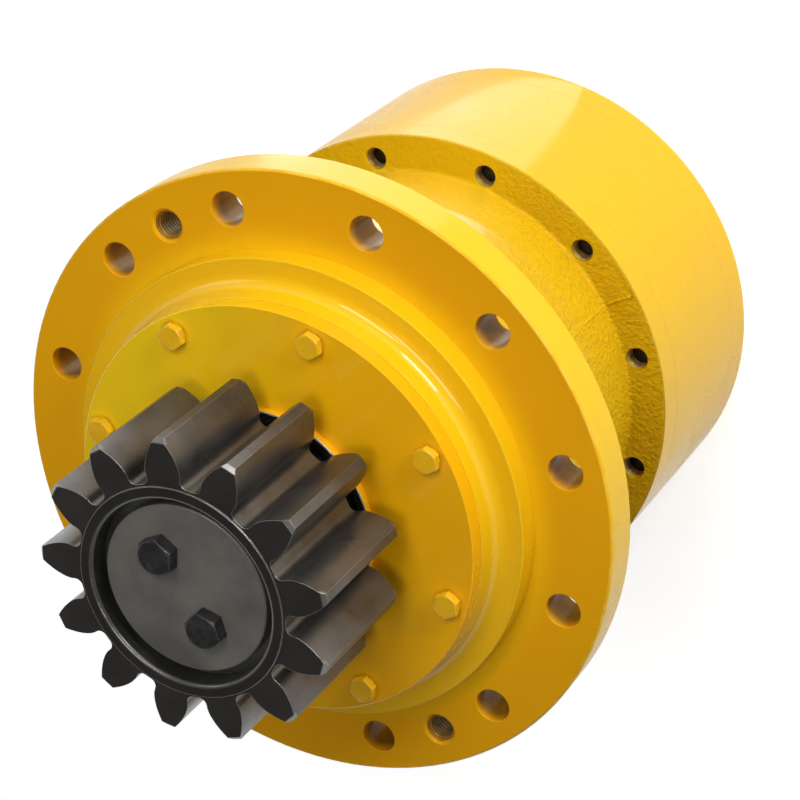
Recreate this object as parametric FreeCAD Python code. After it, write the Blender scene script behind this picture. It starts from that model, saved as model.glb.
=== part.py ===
import FreeCAD, Part
import math
import os

# Excavator swing gearbox, standing on its motor face with the pinion up.
# The origin is the centre of the motor face, +Z runs along the shaft to the pinion,
# and +X passes through one bolt hole of the mounting flange. All sizes are millimetres.
# Two planetary stages share one fixed ring gear and turn the pinion shaft.

os.makedirs("parts", exist_ok=True)
Vec = FreeCAD.Vector
UP = Vec(0, 0, 1)
CENTRE = Vec(0, 0, 0)
QUARTER = 90.0
FULL = 360.0

# Mounting flange and case casting, from the pilot outwards
flange_rim = 27.5
flange_seat = 28.5
flange_t = 32.0
flange_edge = 1.5
flange_hole_count = 12
flange_hole_r = 12.5
flange_hole_edge = 0.5
hole_edge = 1.2
jack_hole_r = 10.4
jack_mouth_r = 12.6
jack_hole_turn = 135.0
pilot_step = 19.0
pilot_h = 18.0
pilot_edge = 0.8
boss_rim = 14.1
boss_draft = 2.4
boss_h = 35.7
boss_fillet = 9.0
neck_r = 161.5
neck_draft = 3.5
neck_len = 165.0
neck_root_fillet = 2.5
neck_top_fillet = 14.0
drum_wall = 33.05
drum_rim = 17.4
drum_edge = 1.0
rear_flange_t = 24.0
case_hole_count = 12

# Oil chambers and the webs that hold the two main bearings
gear_chamber_r = 142.0
gear_chamber_over = 6.0
web_t = 18.0
hub_wall = 14.0
hub_lip = 10.0
hub_lip_t = 8.0
oil_chamber_r = 136.0
upper_lip = 10.0
upper_lip_t = 9.0
chamber_fillet = 6.0

# Oil plugs on the neck
plug_turn = 62.0
plug_r = 10.0
plug_flange_r = 15.0
plug_flange_t = 5.0
plug_len = 16.0
plug_key = 10.0
plug_key_depth = 6.0
plug_boss_r = 20.0
plug_boss_out = 4.0
drain_plug_up = 118.0
level_plug_up = 40.0

# Motor cover
motor_cover_t = 30.0
motor_pilot_r = 85.0
motor_pilot_depth = 8.0
motor_bore_r = 50.0
motor_hole_count = 8
motor_hole_ring_r = 125.0
motor_hole_r = 7.0
motor_hole_depth = 26.0
cover_spigot_h = 5.0
cover_spigot_wall = 12.0

# Output cover over the upper bearing
output_cover_t = 12.5
output_cover_edge = 0.8
seam_step = 0.4
seam_edge = 0.6
output_cover_spigot_h = 10.0
output_bore_r = 75.0
collar_wall = 5.0
collar_h = 6.0
collar_rim = 1.0
seal_lip_r = 66.0
seal_floor_t = 3.0
seal_w = 13.0
seal_wall = 2.5
seal_core = 5.0
o_ring_r = 1.8
o_ring_squeeze = 0.3
cover_bolt_count = 8
cover_bolt_wall = 18.5

# Fasteners: shank radius, head height and across flats, then the case bolt's socket
cover_bolt_r = 5.0
cover_bolt_head_h = 6.4
cover_bolt_flats = 17.0
cover_bolt_len = 35.0
plate_bolt_r = 8.0
plate_bolt_head_h = 10.0
plate_bolt_flats = 24.0
plate_bolt_len = 40.0
case_bolt_r = 8.0
case_bolt_head_r = 12.0
case_bolt_head_h = 16.0
case_bolt_socket = 14.0
case_bolt_socket_depth = 8.0
case_bolt_len = 140.0
head_sink = 1.5
bolt_play = 0.6
thread_gap = 0.05
hole_tip = 3.0
washer_face_t = 0.6
head_chamfer = 30.0
head_turn = 20.3

# Output pinion, shaft and what clamps them
pinion_teeth = 13
pinion_module = 14.0
pinion_shift = 0.286
pinion_w = 99.6
pinion_gap = 18.0
pinion_root_fillet = 5.0
pinion_turn = -70.0
pinion_tip_chamfer = 2.6
pinion_face_step = 1.0
pinion_hub_r = 75.8
pinion_recess_r = 67.0
pinion_recess_depth = 17.0
pinion_recess_round = 2.5
end_plate_r = 60.2
end_plate_t = 10.0
end_plate_edge = 0.8
plate_bolt_ring_r = 28.5
plate_bolt_turn = -40.0
shaft_short = 2.0
shaft_edge = 2.0
pinion_spline_teeth = 24
pinion_spline_r = 53.0
pinion_spline_h = 3.5
carrier_spline_teeth = 20
carrier_spline_r = 47.0
carrier_spline_h = 3.0
spline_base_share = 0.58
spline_tip_share = 0.36
spline_play = 0.08
shaft_body_r = 58.0
shaft_collar_r = 63.0
shaft_collar_t = 12.0
sleeve_r = 62.5

# Main bearings: bore, outside, width, roller and count
upper_bore_r = 55.0
upper_outer_r = 120.0
upper_w = 80.0
upper_roller_r = 16.5
upper_roller_len = 54.0
upper_roller_count = 14
lower_bore_r = 50.0
lower_outer_r = 90.0
lower_w = 46.0
lower_roller_share = 0.245
lower_roller_len = 32.0
lower_roller_count = 16
bearing_tilt = 12.0
roller_gap = 0.15
cage_t = 3.0
cage_bar_gap = 0.6
cage_end = 5.0
bearing_edge = 2.0
rib_h = 3.0
rib_gap = 0.4
seat_gap = 0.02

# Planetary stages: both share the module and the fixed ring
module = 5.0
pressure_angle = 20.0
sun_teeth = 18
planet_teeth = 21
ring_teeth = sun_teeth + 2 * planet_teeth
planet_count = 3
tooth_thinning = 0.2
tooth_top = 1.0
tooth_root = 1.25
root_fillet = 1.5
flank_steps = 3
pinion_flank_steps = 7
stage_1_gap = 9.0
planet_1_w = 31.0
planet_2_w = 42.0
washer_t = 1.5
face_play = 0.1
carrier_1_t = 14.0
carrier_1_r = 128.0
carrier_gap = 2.0
carrier_2_side_t = 11.5
carrier_2_head_t = 22.0
carrier_2_r = 132.0
carrier_2_web_r = 72.0
carrier_hub_r = 62.0
window_play = 2.0
carrier_bore_play = 4.0
stage_2_turn = 60.0
pin_1_r = 17.0
pin_2_r = 22.0
bush_t = 5.0
bush_play = 0.05
washer_wall = 13.0
snap_t = 2.0
snap_depth = 1.5
snap_wall = 4.0
snap_play = 0.1
snap_gap = 60.0
pin_end = 4.0
lower_bearing_up = 45.0
button_r = 16.0
button_t = 5.0
button_play = 0.3
head_clear = 1.0
dowel_r = 6.0
dowel_reach = 12.0
dowel_turn = 15.0

# Input sun and its spline socket
sun_hub_r = 36.0
sun_hub_len = 26.0
sun_spline_teeth = 16
sun_spline_r = 22.0
sun_spline_h = 3.0
sun_spline_len = 48.0
sun_end = 1.5

# Levels along the shaft from the motor face up, and radii from the inside out
z_ring = motor_cover_t
z_planet_1 = z_ring + stage_1_gap
z_carrier_1 = z_planet_1 + planet_1_w + washer_t
z_carrier_2 = z_carrier_1 + carrier_1_t + carrier_gap
z_planet_2 = z_carrier_2 + carrier_2_side_t + washer_t
z_head_2 = z_planet_2 + planet_2_w + washer_t
z_case = z_head_2 + head_clear
z_rear_face = z_case + rear_flange_t
z_flange_rear = z_rear_face + neck_len
z_flange = z_flange_rear + flange_t
z_pilot = z_flange + pilot_h
z_seam = z_flange + boss_h
z_cover = z_seam + output_cover_t
z_pinion = z_cover + pinion_gap
z_pinion_face = z_pinion + pinion_w
z_plate = z_pinion_face - pinion_recess_depth
z_lower_bearing = z_case + lower_bearing_up
z_lower_top = z_lower_bearing + lower_w
z_upper_top = z_seam - output_cover_spigot_h
z_upper_bearing = z_upper_top - upper_w
planet_ring_r = module * (sun_teeth + planet_teeth) / 2
ring_tip_r = module * (ring_teeth / 2 - tooth_top)
ring_root_r = module * (ring_teeth / 2 + tooth_root)
drum_r = ring_root_r + drum_wall
case_hole_ring_r = drum_r - drum_rim
neck_top_r = neck_r + neck_draft
cover_bolt_ring_r = upper_outer_r + cover_bolt_wall
boss_r = cover_bolt_ring_r + boss_rim
boss_base_r = boss_r + boss_draft
pilot_r = boss_base_r + pilot_step
flange_hole_ring_r = pilot_r + flange_seat
flange_r = flange_hole_ring_r + flange_rim
z_shaft_end = z_head_2 + snap_t
z_sun_2_top = z_head_2 - washer_t
z_sun_1_top = z_carrier_1 - sun_end
z_shaft_button = z_sun_2_top + button_play
z_sun_button = z_sun_1_top + button_play


def polar(radius, turn, z=0.0):
    """Point at a radius and an angle in degrees about the shaft."""
    angle = math.radians(turn)
    return Vec(radius * math.cos(angle), radius * math.sin(angle), z)


def rounded_wire(corners):
    """Closed outline in the XZ plane through (x, z, fillet radius) corners."""
    edges = []
    ends = []
    count = len(corners)
    for i in range(count):
        x, z, radius = corners[i]
        here = Vec(x, 0, z)
        back = Vec(corners[i - 1][0], 0, corners[i - 1][1]) - here
        ahead = Vec(corners[(i + 1) % count][0], 0, corners[(i + 1) % count][1]) - here
        if radius > 0:
            half = back.getAngle(ahead) / 2
            reach = radius / math.tan(half)
            start = here + back.normalize() * reach
            end = here + ahead.normalize() * reach
            bisector = (back + ahead).normalize()
            middle = here + bisector * (radius / math.sin(half) - radius)
            edges.append(Part.Arc(start, middle, end).toShape())
        else:
            start = here
            end = here
        ends.append((start, end))
    for i in range(count):
        leave = ends[i - 1][1]
        arrive = ends[i][0]
        if leave.distanceToPoint(arrive) > 1e-6:
            edges.append(Part.LineSegment(leave, arrive).toShape())
    return Part.Wire(Part.__sortEdges__(edges))


def turned(corners):
    """Solid of revolution about the shaft from an outline of (radius, z, fillet) corners."""
    return Part.Face(rounded_wire(corners)).revolve(CENTRE, UP, FULL)


def ring(inner_r, outer_r, z, height):
    """Plain ring or, with no inner radius, a disc."""
    disc = Part.makeCylinder(outer_r, height, Vec(0, 0, z))
    if inner_r > 0:
        disc = disc.cut(Part.makeCylinder(inner_r, height, Vec(0, 0, z)))
    return disc


def around(shape, count, start=0.0):
    """Copies of a shape, evenly spaced about the shaft."""
    copies = []
    for i in range(count):
        copy = shape.copy()
        copy.rotate(CENTRE, UP, start + i * FULL / count)
        copies.append(copy)
    return copies


def drill(radius, z_from, z_to, edge_low=0.0, edge_high=0.0):
    """Straight hole along the shaft's direction, with a chamfer at each open end."""
    over = hole_edge
    corners = [(0, z_from - over, 0), (0, z_to + over, 0)]
    if edge_high > 0:
        corners.append((radius + edge_high + over, z_to + over, 0))
        corners.append((radius, z_to - edge_high, 0))
    else:
        corners.append((radius, z_to + over, 0))
    if edge_low > 0:
        corners.append((radius, z_from + edge_low, 0))
        corners.append((radius + edge_low + over, z_from - over, 0))
    else:
        corners.append((radius, z_from - over, 0))
    return turned(corners)


def blind_hole(radius, z_mouth, depth, mouth_edge=0.0):
    """Hole bored down from z_mouth, with a drilled tip and an optional chamfer."""
    over = hole_edge
    corners = [
        (0, z_mouth - depth - hole_tip, 0),
        (0, z_mouth + over, 0),
        (radius + mouth_edge + (over if mouth_edge else 0), z_mouth + over, 0),
        (radius, z_mouth - mouth_edge, 0),
        (radius, z_mouth - depth, 0),
    ]
    if not mouth_edge:
        corners.pop(3)
    return turned(corners)


def placed(shape, radius, turn=0.0):
    """Shape moved from the shaft's axis out to a radius and an angle."""
    copy = shape.copy()
    copy.translate(Vec(radius, 0, 0))
    copy.rotate(CENTRE, UP, turn)
    return copy


def hex_prism(across_flats, z, height):
    """Six-sided prism on the shaft's axis."""
    corner_r = across_flats / 2 / math.cos(math.radians(FULL / 12))
    points = [polar(corner_r, FULL * i / 6, z) for i in range(7)]
    return Part.Face(Part.makePolygon(points)).extrude(Vec(0, 0, height))


def hex_bolt(shank_r, length, flats, head_h):
    """Hex bolt standing head up, with the head's seat at z = 0."""
    flat_r = flats / 2
    corner_r = flat_r / math.cos(math.radians(FULL / 12))
    drop = (corner_r - flat_r + washer_face_t) * math.tan(math.radians(head_chamfer))
    dome = turned([
        (0, 0, 0),
        (flat_r, 0, 0),
        (flat_r, washer_face_t, 0),
        (corner_r + washer_face_t, washer_face_t, 0),
        (corner_r + washer_face_t, head_h - drop, 0),
        (flat_r - washer_face_t, head_h, 0),
        (0, head_h, 0),
    ])
    head = hex_prism(flats, 0, head_h).common(dome)
    shank = turned([
        (0, -length, 0),
        (shank_r - washer_face_t, -length, 0),
        (shank_r, -length + washer_face_t, 0),
        (shank_r, 0, 0),
        (0, 0, 0),
    ])
    return head.fuse(shank).removeSplitter()


def tightened(bolt, radius, count, start=0.0):
    """Copies of a hex bolt about the shaft, each head left at its own turn by the spanner."""
    copies = []
    for i in range(count):
        copy = bolt.copy()
        copy.rotate(CENTRE, UP, (i + 1) * head_turn)
        copies.append(placed(copy, radius, start + i * FULL / count))
    return copies


def tooth_half_angle(teeth, module_mm, shift, thinning, radius):
    """Half the angle of an involute tooth at a radius, in radians."""
    pressure = math.radians(pressure_angle)
    pitch_r = module_mm * teeth / 2
    base_r = pitch_r * math.cos(pressure)
    at = math.acos(min(1.0, base_r / max(radius, base_r)))
    thickness = module_mm * (math.pi / 2 + 2 * shift * math.tan(pressure)) - thinning
    opening = math.tan(pressure) - pressure - math.tan(at) + at
    return thickness / (2 * pitch_r) + opening


def gear_outline(teeth, module_mm, shift, thinning, root_r, tip_r, fillet, steps, turn, z):
    """Involute gear outline: flanks interpolated on the involute, filleted to the root circle.

    Below the base circle a flank runs straight towards the centre. One tooth's middle is at turn.
    """
    base_r = module_mm * teeth / 2 * math.cos(math.radians(pressure_angle))
    start_r = max(root_r, base_r)
    foot = tooth_half_angle(teeth, module_mm, shift, thinning, start_r)
    tip = tooth_half_angle(teeth, module_mm, shift, thinning, tip_r)
    pitch = 2 * math.pi / teeth
    lean = math.asin(fillet / (root_r + fillet))
    touch_r = math.sqrt((root_r + fillet) ** 2 - fillet ** 2)
    edges = []

    def at(radius, angle):
        return Vec(radius * math.cos(angle), radius * math.sin(angle), z)

    for i in range(teeth):
        middle = math.radians(turn) + pitch * i
        for side in (-1, 1):
            heel = at(touch_r, middle + side * foot)
            if fillet > 0:
                hinge = at(root_r + fillet, middle + side * (foot + lean))
                inward = (at(root_r, middle + side * foot) - hinge).normalize() * fillet
                low = at(root_r, middle + side * (foot + lean))
                edges.append(Part.Arc(low, hinge + inward, heel).toShape())
            if start_r > touch_r:
                edges.append(Part.LineSegment(heel, at(start_r, middle + side * foot)).toShape())
            flank = []
            for step in range(steps + 1):
                r = start_r + (tip_r - start_r) * (step / steps) ** 2
                half = tooth_half_angle(teeth, module_mm, shift, thinning, r)
                flank.append(at(r, middle + side * half))
            curve = Part.BSplineCurve()
            curve.interpolate(flank)
            edges.append(curve.toShape())
        edges.append(Part.Arc(at(tip_r, middle - tip), at(tip_r, middle), at(tip_r, middle + tip)).toShape())
        gap_from = middle + foot + lean
        gap_to = middle + pitch - foot - lean
        gap_mid = (gap_from + gap_to) / 2
        edges.append(Part.Arc(at(root_r, gap_from), at(root_r, gap_mid), at(root_r, gap_to)).toShape())
    return Part.Wire(Part.__sortEdges__(edges))


def gear_prism(teeth, root_r, tip_r, z, height, thinning, fillet=0.0):
    """Toothed prism of the planetary stages, with a tooth on +X."""
    wire = gear_outline(teeth, module, 0, thinning, root_r, tip_r, fillet, flank_steps, 0, z)
    return Part.Face(wire).extrude(Vec(0, 0, height))


def spline_prism(teeth, outer_r, depth, z, height, play=0.0):
    """Straight-flanked spline; with play it is the socket that takes the same spline."""
    pitch = 2 * math.pi / teeth
    low_r = outer_r - depth + play
    high_r = outer_r + play
    low_half = spline_base_share * pitch / 2 + play / low_r
    if play > 0:
        low_r = low_r / math.cos(pitch / 2 - low_half)
    high_half = spline_tip_share * pitch / 2 + play / high_r
    points = []
    for i in range(teeth):
        middle = pitch * i
        for r, angle in (
            (low_r, middle - low_half),
            (high_r, middle - high_half),
            (high_r, middle + high_half),
            (low_r, middle + low_half),
        ):
            points.append(Vec(r * math.cos(angle), r * math.sin(angle), z))
    points.append(points[0])
    return Part.Face(Part.makePolygon(points)).extrude(Vec(0, 0, height))


def snap_ring(inner_r, wall, z):
    """Retaining ring with its open mouth on +X."""
    mouth = math.radians(snap_gap) / 2
    outer_r = inner_r + wall
    reach = outer_r / math.cos(mouth)
    wedge = [Vec(0, 0, z), polar(reach * 2, -snap_gap / 2, z), polar(reach * 2, snap_gap / 2, z), Vec(0, 0, z)]
    gap = Part.Face(Part.makePolygon(wedge)).extrude(Vec(0, 0, snap_t))
    return ring(inner_r, outer_r, z, snap_t).cut(gap)


def on_planets(shape, turn):
    """One copy of a shape at each planet of a stage."""
    return around(placed(shape, planet_ring_r), planet_count, turn)


# Case casting: rear flange, neck, mounting flange, pilot and boss in one iron casting
def case_outline():
    hub_r = lower_outer_r + hub_wall
    lip_low_r = lower_outer_r - hub_lip
    lip_high_r = upper_outer_r - upper_lip
    z_web = z_lower_bearing - gear_chamber_over
    z_hub_top = z_lower_top + hub_lip_t
    z_lip_high = z_upper_bearing - upper_lip_t
    return [
        (gear_chamber_r, z_case, 0),
        (drum_r, z_case, 0),
        (drum_r, z_rear_face - drum_edge, 0),
        (drum_r - drum_edge, z_rear_face, 0),
        (neck_r, z_rear_face, neck_root_fillet),
        (neck_top_r, z_flange_rear, neck_top_fillet),
        (flange_r - flange_edge, z_flange_rear, 0),
        (flange_r, z_flange_rear + flange_edge, 0),
        (flange_r, z_flange - flange_edge, 0),
        (flange_r - flange_edge, z_flange, 0),
        (pilot_r, z_flange, 0),
        (pilot_r, z_pilot - pilot_edge, 0),
        (pilot_r - pilot_edge, z_pilot, 0),
        (boss_base_r, z_pilot, boss_fillet),
        (boss_r, z_seam - seam_edge, 0),
        (boss_r - seam_edge, z_seam, 0),
        (upper_outer_r + seat_gap, z_seam, 0),
        (upper_outer_r + seat_gap, z_upper_bearing, 0),
        (lip_high_r, z_upper_bearing, 0),
        (lip_high_r, z_lip_high, 0),
        (oil_chamber_r, z_lip_high - chamber_fillet, chamber_fillet),
        (oil_chamber_r, z_web + web_t, chamber_fillet),
        (hub_r, z_web + web_t, chamber_fillet),
        (hub_r, z_hub_top, 0),
        (lip_low_r, z_hub_top, 0),
        (lip_low_r, z_lower_top, 0),
        (lower_outer_r + seat_gap, z_lower_top, 0),
        (lower_outer_r + seat_gap, z_web, 0),
        (gear_chamber_r, z_web, chamber_fillet),
    ]


def neck_radius(z):
    share = (z - z_rear_face) / (z_flange_rear - z_rear_face)
    return neck_r + (neck_top_r - neck_r) * share


def radial_tool(shape, z, turn):
    """Shape built along +Z at the origin, laid along the radius at a height and an angle."""
    copy = shape.copy()
    copy.rotate(CENTRE, Vec(0, 1, 0), QUARTER)
    copy.translate(Vec(0, 0, z))
    copy.rotate(CENTRE, UP, turn)
    return copy


def plug_face_r(z):
    return neck_radius(z) + plug_boss_out


def plug_heights():
    return z_rear_face + level_plug_up, z_rear_face + drain_plug_up


def make_case():
    body = turned(case_outline())
    bosses = []
    for z in plug_heights():
        inside = neck_radius(z) - chamber_fillet
        boss = Part.makeCylinder(plug_boss_r, plug_face_r(z) - inside, Vec(0, 0, inside))
        bosses.append(radial_tool(boss, z, plug_turn))
    body = body.fuse(bosses)
    tools = []
    for z in plug_heights():
        depth = plug_face_r(z) - oil_chamber_r + hole_tip
        hole = Part.makeCylinder(plug_r + thread_gap, depth + hole_edge, Vec(0, 0, plug_face_r(z) - depth))
        tools.append(radial_tool(hole, z, plug_turn))
    flange_hole = drill(flange_hole_r, z_flange_rear, z_flange, flange_hole_edge, flange_hole_edge)
    tools += around(placed(flange_hole, flange_hole_ring_r), flange_hole_count)
    jack = drill(jack_hole_r, z_flange_rear, z_flange, 0, jack_mouth_r - jack_hole_r)
    for turn in (jack_hole_turn, jack_hole_turn - FULL / 2):
        tools.append(placed(jack, flange_hole_ring_r, turn))
    case_hole = drill(case_bolt_r + thread_gap, z_case, z_rear_face, 0, hole_edge / 2)
    tools += around(placed(case_hole, case_hole_ring_r), case_hole_count)
    cover_hole = blind_hole(cover_bolt_r + thread_gap, z_seam, cover_bolt_len)
    tools += around(placed(cover_hole, cover_bolt_ring_r), cover_bolt_count)
    return body.cut(tools + dowel_holes())


def make_oil_plug(z):
    """Socket plug with a collar, screwed into a neck boss."""
    face = plug_face_r(z)
    stem = Part.makeCylinder(plug_r, plug_len, Vec(0, 0, face - plug_len))
    collar = Part.makeCylinder(plug_flange_r, plug_flange_t, Vec(0, 0, face))
    collar = collar.makeChamfer(hole_edge, [edge for edge in collar.Edges if edge.BoundBox.ZMin > face])
    key = hex_prism(plug_key, face + plug_flange_t - plug_key_depth, plug_key_depth)
    return radial_tool(stem.fuse(collar).removeSplitter().cut(key), z, plug_turn)


def dowels(radius):
    """Two dowels across each joint of the ring gear, at a radius that fits pin or hole."""
    pins = []
    for z in (z_ring, z_case):
        pin = ring(0, radius, z - dowel_reach, 2 * dowel_reach)
        pins += around(placed(pin, case_hole_ring_r), 2, dowel_turn)
    return pins


def dowel_holes():
    return dowels(dowel_r + seat_gap)


# Ring gear: one broached ring that both stages run in, clamped between case and motor cover
def make_ring_gear():
    length = z_case - z_ring
    blank = ring(0, drum_r, z_ring, length)
    space = gear_prism(ring_teeth, ring_tip_r, ring_root_r, z_ring, length, -tooth_thinning)
    hole = drill(case_bolt_r + bolt_play, z_ring, z_case)
    tools = [space] + around(placed(hole, case_hole_ring_r), case_hole_count)
    return blank.cut(tools + dowel_holes())


# Motor cover: the face the swing motor bolts to, with its pilot recess and tapped holes
def make_motor_cover():
    spigot_top = z_ring + cover_spigot_h
    spigot_r = ring_tip_r - seat_gap
    body = turned([
        (motor_bore_r, motor_pilot_depth, 0),
        (motor_pilot_r, motor_pilot_depth, 0),
        (motor_pilot_r, hole_edge, 0),
        (motor_pilot_r + hole_edge, 0, 0),
        (drum_r - drum_edge, 0, 0),
        (drum_r, drum_edge, 0),
        (drum_r, z_ring, 0),
        (spigot_r, z_ring, 0),
        (spigot_r, spigot_top, 0),
        (spigot_r - cover_spigot_wall, spigot_top, 0),
        (spigot_r - cover_spigot_wall, z_ring, 0),
        (motor_bore_r, z_ring, 0),
    ])
    through = drill(case_bolt_r + bolt_play, 0, z_ring)
    sink = drill(case_bolt_head_r + bolt_play, -hole_edge, case_bolt_head_h + head_sink - hole_edge)
    tapped = blind_hole(motor_hole_r, 0, motor_hole_depth - hole_tip, hole_edge)
    tapped.rotate(CENTRE, Vec(1, 0, 0), QUARTER * 2)
    tools = around(placed(through, case_hole_ring_r), case_hole_count)
    tools += around(placed(sink, case_hole_ring_r), case_hole_count)
    tools += around(placed(tapped, motor_hole_ring_r), motor_hole_count, FULL / motor_hole_count / 2)
    return body.cut(tools + dowel_holes())


# Case bolts: long socket bolts from the motor face into the rear flange
def make_case_bolts():
    seat = case_bolt_head_h + head_sink
    head = Part.makeCylinder(case_bolt_head_r, case_bolt_head_h, Vec(0, 0, head_sink))
    shank = Part.makeCylinder(case_bolt_r, case_bolt_len, Vec(0, 0, seat))
    socket = hex_prism(case_bolt_socket, head_sink, case_bolt_socket_depth)
    bolt = head.fuse(shank).removeSplitter().cut(socket)
    return Part.makeCompound(around(placed(bolt, case_hole_ring_r), case_hole_count))


# Output cover: clamps the upper bearing and carries the oil seal
def make_output_cover():
    cover_r = boss_r - seam_step
    collar_r = output_bore_r + collar_wall
    spigot_r = upper_outer_r - seat_gap
    groove_z = z_seam - output_cover_spigot_h / 2
    groove_r = spigot_r - 2 * o_ring_r + 2 * o_ring_squeeze
    body = turned([
        (seal_lip_r, z_upper_top, 0),
        (spigot_r, z_upper_top, 0),
        (spigot_r, groove_z - o_ring_r, 0),
        (groove_r, groove_z - o_ring_r, 0),
        (groove_r, groove_z + o_ring_r, 0),
        (spigot_r, groove_z + o_ring_r, 0),
        (spigot_r, z_seam, 0),
        (cover_r - seam_edge, z_seam, 0),
        (cover_r, z_seam + seam_edge, 0),
        (cover_r, z_cover - output_cover_edge, 0),
        (cover_r - output_cover_edge, z_cover, 0),
        (collar_r, z_cover, 0),
        (collar_r, z_cover + collar_h, 0),
        (collar_r - collar_rim, z_cover + collar_h, 0),
        (output_bore_r, z_cover + collar_h - collar_wall + collar_rim, 0),
        (output_bore_r, z_upper_top + seal_floor_t, 0),
        (seal_lip_r, z_upper_top + seal_floor_t, 0),
    ])
    hole = drill(cover_bolt_r + bolt_play, z_seam, z_cover, 0, hole_edge / 2)
    return body.cut(around(placed(hole, cover_bolt_ring_r), cover_bolt_count))


def make_cover_bolts():
    bolt = hex_bolt(cover_bolt_r, cover_bolt_len, cover_bolt_flats, cover_bolt_head_h)
    bolt.translate(Vec(0, 0, z_cover))
    return Part.makeCompound(tightened(bolt, cover_bolt_ring_r, cover_bolt_count))


def make_cover_o_ring():
    """Round cord, flattened where the groove and the bore squeeze it."""
    groove_r = upper_outer_r - seat_gap - 2 * o_ring_r + 2 * o_ring_squeeze
    middle_r = (groove_r + upper_outer_r) / 2
    cord = Part.makeTorus(middle_r, o_ring_r, Vec(0, 0, z_seam - output_cover_spigot_h / 2), UP)
    return cord.common(ring(groove_r, upper_outer_r, z_upper_top, output_cover_spigot_h))


# Oil seal: a steel case in rubber, its main lip on the sleeve and a dust lip above it
def make_oil_seal():
    low = z_upper_top + seal_floor_t
    top = low + seal_w
    lip_r = sleeve_r + roller_gap
    body = turned([
        (output_bore_r - seat_gap, low, 0),
        (output_bore_r - seat_gap, top, 0),
        (lip_r + seal_wall, top, 0),
        (lip_r, top - seal_wall / 2, 0),
        (lip_r + seal_wall, top - seal_wall, 0),
        (output_bore_r - seal_wall, top - seal_wall, 0),
        (output_bore_r - seal_wall, low + seal_wall, 0),
        (lip_r + seal_core, low + seal_wall, 0),
        (lip_r, low + seal_core, 0),
        (lip_r + seal_wall / 2, low, 0),
    ])
    return body


# Tapered roller bearing: rings, rollers and cage share one cone apex on the shaft
def make_bearing(bore_r, outer_r, width, roller_r, roller_len, count, z, flip):
    """Outer ring, inner ring, rollers and cage, wide end up unless flipped."""
    pitch_r = (bore_r + outer_r) / 2
    tilt = math.radians(bearing_tilt)
    slope = math.tan(tilt)
    half_cone = math.atan(roller_r * math.sin(tilt) / pitch_r)
    middle = width / 2
    reach = roller_len / 2 * math.cos(tilt)

    def race_r(side, at):
        normal = (roller_r + roller_gap) / math.cos(tilt)
        return pitch_r + side * normal + math.tan(tilt + side * half_cone) * (at - middle)

    outer = turned([
        (race_r(1, 0), 0, 0),
        (outer_r - bearing_edge, 0, 0),
        (outer_r, bearing_edge, 0),
        (outer_r, width - bearing_edge, 0),
        (outer_r - bearing_edge, width, 0),
        (race_r(1, width), width, 0),
    ])
    small_r = roller_r - roller_len / 2 * math.tan(half_cone)
    large_r = roller_r + roller_len / 2 * math.tan(half_cone)
    low = middle - reach + small_r * math.sin(tilt) - rib_gap
    high = middle + reach + large_r * math.sin(tilt) + rib_gap
    inner = turned([
        (bore_r + seat_gap, 0, 0),
        (race_r(-1, low) + rib_h, 0, 0),
        (race_r(-1, low) + rib_h, low - rib_h * slope, 0),
        (race_r(-1, low), low, 0),
        (race_r(-1, high), high, 0),
        (race_r(-1, high) + 2 * rib_h, high - 2 * rib_h * slope, 0),
        (race_r(-1, high) + 2 * rib_h, width, 0),
        (bore_r + seat_gap, width, 0),
    ])
    roller = Part.makeCone(small_r, large_r, roller_len, Vec(0, 0, -roller_len / 2))
    roller.rotate(CENTRE, Vec(0, 1, 0), bearing_tilt)
    roller.translate(Vec(pitch_r, 0, middle))
    rollers = Part.makeCompound(around(roller, count))
    cage_low = middle - reach - cage_end
    cage_high = middle + reach + cage_end
    shell = turned([
        (pitch_r + slope * (cage_low - middle) - cage_t / 2, cage_low, 0),
        (pitch_r + slope * (cage_low - middle) + cage_t / 2, cage_low, 0),
        (pitch_r + slope * (cage_high - middle) + cage_t / 2, cage_high, 0),
        (pitch_r + slope * (cage_high - middle) - cage_t / 2, cage_high, 0),
    ])
    window_l = roller_len + 2 * cage_bar_gap
    small_w = small_r + cage_bar_gap
    large_w = large_r + cage_bar_gap
    base = [
        Vec(-roller_r, -small_w, -window_l / 2),
        Vec(-roller_r, small_w, -window_l / 2),
        Vec(-roller_r, large_w, window_l / 2),
        Vec(-roller_r, -large_w, window_l / 2),
    ]
    window = Part.Face(Part.makePolygon(base + base[:1])).extrude(Vec(2 * roller_r, 0, 0))
    window.rotate(CENTRE, Vec(0, 1, 0), bearing_tilt)
    window.translate(Vec(pitch_r, 0, middle))
    cage = shell.cut(around(window, count))
    pieces = [outer, inner, rollers, cage]
    for piece in pieces:
        if flip:
            piece.rotate(Vec(0, 0, middle), Vec(1, 0, 0), QUARTER * 2)
        piece.translate(Vec(0, 0, z))
    return pieces


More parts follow.
